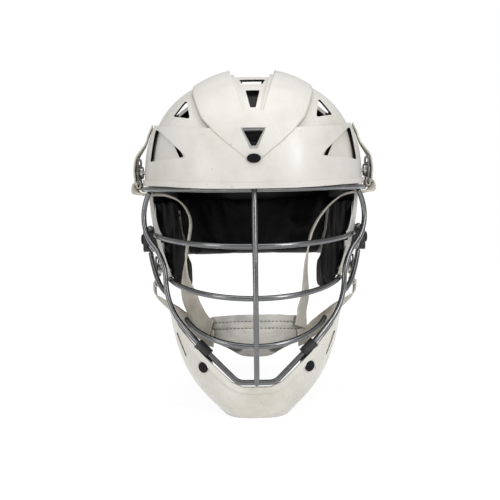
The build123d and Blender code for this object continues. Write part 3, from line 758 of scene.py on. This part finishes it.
def ribbon(shape, samples, width):
    # flat grid laid along the samples, with a UV map in metres
    layer = shape.loops.layers.uv.new("alongStrap")
    count = len(samples)
    lengths = [0.0]
    for (near, _), (far, _) in zip(samples, samples[1:]):
        lengths.append(lengths[-1] + (far - near).length)
    grid = bmesh.ops.create_grid(shape, x_segments=count - 1, y_segments=straps["acrossSteps"], size=1)
    spots = {}
    for vert in grid["verts"]:
        index = round((vert.co.x + 1) / 2 * (count - 1))
        side = vert.co.y
        place, across = samples[index]
        ahead = samples[min(index + 1, count - 1)][0] - samples[max(index - 1, 0)][0]
        ahead.normalize()
        across = (across - ahead * across.dot(ahead)).normalized()
        spots[vert] = (lengths[index] * mm, side * width / 2 * mm)
        vert.co = (place + across * side * width / 2) * mm
    for face in {face for vert in grid["verts"] for face in vert.link_faces}:
        for loop in face.loops:
            loop[layer].uv = spots[loop.vert]


def loopStations(centre, half):
    # turn of webbing round the lower bar of a buckle, a circle drawn out to rounded corners
    power, corners = straps["turnPower"], straps["turnCorners"]
    stations = []
    for step in range(corners + 1):
        turn = 2 * pi * step / corners
        reach = 1 / (abs(cos(turn)) ** power + abs(sin(turn)) ** power) ** (1 / power)
        place = (centre[0] + half[0] * reach * cos(turn), centre[1], centre[2] + half[1] * reach * sin(turn))
        stations.append((place, (0, -1, 0)))
    return stations


def flipped(stations):
    # the same stations on the other side of the head
    return [[(-across, back, up) for across, back, up in station] for station in stations]


def webbingPiece(name, stations, steps, side, body, replaced=()):
    shape = bmesh.new()
    if side == "right":
        stations = flipped(stations)
    ribbon(shape, alongStations(stations, steps), straps["width"])
    piece = addPiece(name, newMesh(name, shape), webbing, body, replaced)
    wall = piece.modifiers.new("thickness", "SOLIDIFY")
    wall.thickness = straps["thickness"] * mm
    wall.offset = 0
    edge = piece.modifiers.new("edge", "BEVEL")
    edge.width = straps["edge"] * mm
    edge.segments = straps["edgeSteps"]
    return applied(piece)


def makeStrap(side, which):
    # the run from the cup is left on no body, with its transform baked in; the turn at the end goes with its
    # buckle
    main = straps["lower"] if which == "lower" else straps["upper" + side.capitalize()] + straps["rise"]
    name = which + "Webbing" + side.capitalize()
    piece = webbingPiece(name, main, straps["steps"], side, None, [f"{which}_strap_{side}"])
    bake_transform(piece)
    turn = loopStations(straps[which + "Loop"], straps["loopHalf"])
    body = "chin_strap" if which == "upper" else "lower_snap_" + side
    webbingPiece(which + "Turn" + side.capitalize(), turn, straps["turnSteps"], side, body)


for side in ("left", "right"):
    for which in ("upper", "lower"):
        makeStrap(side, which)
print("webbing made")

# chin cup, in mm. levels: height and reach; top and bottom: distance from the middle and height;
# hollows: distance from the middle and height
cup = {
    "axisY": -48.0,
    "halfWidth": 47,
    "levels": [(47, 43.0), (55, 51.0), (66, 55.0), (78, 56.0), (94, 54.5)],
    "levelSpread": 5,
    "top": [(0, 89.6), (20, 89.0), (43, 86.0), (47, 80.0)],
    "bottom": [(0, 49.5), (13, 50.3), (29, 59.0), (42, 63.0), (47, 70.0)],
    "edgeSpread": 4,
    "spreadSteps": 3,
    "hollows": [(-20, 57.5), (19, 57.0)],
    "hollowHalf": (7.0, 3.6),
    "hollowDepth": 1.8,
    "hollowRim": 1.25,
    "hollowSlope": 0.4,
    "puff": {"reach": 0.45, "often": 0.12, "upOften": 0.25, "layer": 3},
    "acrossSteps": 120,
    "upSteps": 52,
    "endShare": 0.985,
    "wall": 2.6,
    "edge": 1.0,
    "edgeSteps": 3,
    "padFill": 0.6,
}

# two rows of stitches along the cup, each in its own groove
stitches = {
    "rows": (6.2, 12.4),
    "grooveDepth": 0.55,
    "grooveHalf": 1.6,
    "reach": 42,
    "pitch": 3.5,
    "length": 2.6,
    "radius": 0.4,
    "sink": 0.25,
    "roundSteps": 8,
    "upSteps": 6,
}


def between(table, value):
    # straight-line reading of a table of pairs
    for (near, low), (far, high) in zip(table, table[1:]):
        if value <= far:
            return low + (high - low) * (value - near) / (far - near)
    return table[-1][1]


def smoothBetween(table, value, spread):
    # the same, rounded over a distance either side
    steps = cup["spreadSteps"]
    total = 0.0
    for step in range(-steps, steps + 1):
        total += between(table, min(max(abs(value + step * spread / steps), table[0][0]), table[-1][0]))
    return total / (2 * steps + 1)


def cupPoint(across, up, out=0.0):
    # point of the cup's outer face in mm: across from the middle, at one height
    reach = smoothBetween(cup["levels"], up, cup["levelSpread"]) + out
    across = max(-reach, min(reach, across))
    return Vector((across, cup["axisY"] - sqrt(reach * reach - across * across), up))


def cupEdges(across):
    return [smoothBetween(cup[edge], abs(across), cup["edgeSpread"]) for edge in ("bottom", "top")]


def hollowShare(across, up, centre, level):
    # 1 in the middle of a hollow and 0 outside it
    half, halfUp = cup["hollowHalf"]
    off = sqrt(((across - centre) / half) ** 2 + ((up - level) / halfUp) ** 2)
    return min(1.0, max(0.0, (cup["hollowRim"] - off) / cup["hollowSlope"]))


def makeChinCup():
    shape = bmesh.new()
    bmesh.ops.create_grid(shape, x_segments=cup["acrossSteps"], y_segments=cup["upSteps"], size=1)
    shape.verts.index_update()
    shades = {}
    for vert in shape.verts:
        across = cup["halfWidth"] * cup["endShare"] * sin(vert.co.x * pi / 2)
        bottom, top = cupEdges(across)
        up = bottom + (top - bottom) * (vert.co.y + 1) / 2
        dent = 0.0
        for row in stitches["rows"]:
            dent -= stitches["grooveDepth"] * max(0.0, 1 - abs(top - row - up) / stitches["grooveHalf"])
        for centre, level in cup["hollows"]:
            deep = hollowShare(across, up, centre, level)
            dent -= cup["hollowDepth"] * deep
            shades[vert.index] = max(shades.get(vert.index, 0.0), deep)
        vert.co = cupPoint(across, up, dent + uneven(across, up, **cup["puff"])) * mm
    # painted shade: each vertex keeps how far it lies in a hollow, which darkens it there
    hollowPaintedShade = shape.verts.layers.float.new("hollowPaintedShade")
    for vert in shape.verts:
        vert[hollowPaintedShade] = shades[vert.index]
    mesh = newMesh("chinCupHide", shape)
    piece = addPiece("chinCupHide", mesh, chinHide, "chin_strap", ["chin_cup"])
    wall = piece.modifiers.new("thickness", "SOLIDIFY")
    wall.thickness = cup["wall"] * mm
    wall.offset = -1
    edge = piece.modifiers.new("edge", "BEVEL")
    edge.width = cup["edge"] * mm
    edge.segments = cup["edgeSteps"]


def makeStitches():
    shape = bmesh.new()
    radius, sink, span = stitches["radius"] * mm, -stitches["sink"], 2 * stitches["reach"]
    segments = {"u_segments": stitches["roundSteps"], "v_segments": stitches["upSteps"]}
    for row in stitches["rows"]:
        count = int(span / stitches["pitch"])
        for index in range(count):
            across = -stitches["reach"] + span * (index + 0.5) / count
            place = cupPoint(across, cupEdges(across)[1] - row, sink)
            ahead = cupPoint(across + 1, cupEdges(across + 1)[1] - row, sink) - place
            ahead.normalize()
            out = Vector((place.x, place.y - cup["axisY"], 0)).normalized()
            turn = Matrix((ahead, ahead.cross(out).normalized(), out)).transposed().to_4x4()
            shaped = Matrix.Diagonal((stitches["length"] / 2 * mm, radius, radius, 1))
            move = Matrix.Translation(place * mm) @ turn @ shaped
            bmesh.ops.create_uvsphere(shape, **segments, radius=1, matrix=move)
    bmesh.ops.recalc_face_normals(shape, faces=shape.faces)
    mesh = newMesh("chinCupStitches", shape)
    addPiece("chinCupStitches", mesh, threadBrown, "chin_strap")


makeChinCup()
makeStitches()
makePad("chin_cup_pad", chinLining, "chin_strap")
print("chin cup made")

# floor, light and camera
studio = {
    "camera": (-0.0043, -0.700, 0.148),
    "roll": 0.8,
    "lens": 47.4,
    "sensor": 36,
    "clipStart": 0.01,
    "skyLight": 0.46,
    "lampTarget": (0, 0, 0.17),
    "lamps": {
        "topLamp": {"place": (0, -0.35, 1.3), "size": (1.4, 1.0), "power": 7.0},
        "keyLamp": {"place": (0.75, -1.2, 0.8), "size": (0.35, 0.9), "power": 7.5},
        "fillLamp": {"place": (-0.9, -1.0, 0.45), "size": (0.35, 0.9), "power": 3.2},
    },
}

# the glow fades the floor into the white round it, from near the helmet to further out
floorLook = {
    "halfSize": 6,
    "color": (0.86, 0.86, 0.86),
    "roughness": 0.8,
    "glow": 1.12,
    "fade": {"low": 0.25, "high": 0.7, "start": 0.8, "end": 1},
}


def makeFloor():
    shape = bmesh.new()
    bmesh.ops.create_grid(shape, x_segments=1, y_segments=1, size=floorLook["halfSize"])
    mesh = newMesh("floor", shape, False)
    material, tree, shader = newMaterial("floorPale", floorLook["color"], floorLook["roughness"])
    path = addNode(tree, "ShaderNodeLightPath")
    seen = maths(tree, "MAXIMUM", path.outputs["Is Camera Ray"], path.outputs["Is Glossy Ray"])
    glow = addNode(tree, "ShaderNodeEmission", {"Color": (1, 1, 1, 1), "Strength": floorLook["glow"]})
    spread = addNode(tree, "ShaderNodeVectorMath", {0: objectPoint(tree)}, operation="LENGTH")
    share = maths(tree, "MULTIPLY", seen, ramp(tree, spread.outputs["Value"], **floorLook["fade"]))
    surfaces = {0: share, 1: shader.outputs["BSDF"], 2: glow.outputs["Emission"]}
    blend = addNode(tree, "ShaderNodeMixShader", surfaces)
    tree.links.new(blend.outputs["Shader"], tree.nodes["Material Output"].inputs["Surface"])
    mesh.materials.append(material)
    floor = bpy.data.objects.new("floor", mesh)
    scene.collection.objects.link(floor)


def makeWorld():
    world = bpy.data.worlds.new("studioWorld")
    scene.world = world
    world.use_nodes = True
    tree = world.node_tree
    back = tree.nodes["Background"]
    back.inputs["Color"].default_value = (1, 1, 1, 1)
    path = addNode(tree, "ShaderNodeLightPath")
    seen = maths(tree, "MAXIMUM", path.outputs["Is Camera Ray"], path.outputs["Is Transmission Ray"])
    tree.links.new(ramp(tree, seen, 0, 1, studio["skyLight"], 1.0), back.inputs["Strength"])


def makeLamp(name, place, size, power):
    lamp = bpy.data.lights.new(name, "AREA")
    lamp.shape = "RECTANGLE"
    lamp.size, lamp.size_y = size
    lamp.energy = power
    holder = bpy.data.objects.new(name, lamp)
    scene.collection.objects.link(holder)
    holder.location = place
    heading = Vector(studio["lampTarget"]) - Vector(place)
    holder.rotation_euler = heading.to_track_quat("-Z", "Y").to_euler()


def makeCamera():
    camera = bpy.data.cameras.new("camera")
    camera.sensor_width = studio["sensor"]
    camera.lens = studio["lens"]
    camera.clip_start = studio["clipStart"]
    holder = bpy.data.objects.new("camera", camera)
    scene.collection.objects.link(holder)
    holder.location = studio["camera"]
    holder.rotation_euler = (radians(90), radians(studio["roll"]), 0)
    scene.camera = holder


makeFloor()
makeWorld()
for name, lamp in studio["lamps"].items():
    makeLamp(name, **lamp)
makeCamera()
scene.view_settings.view_transform = "Standard"
print("stage made")
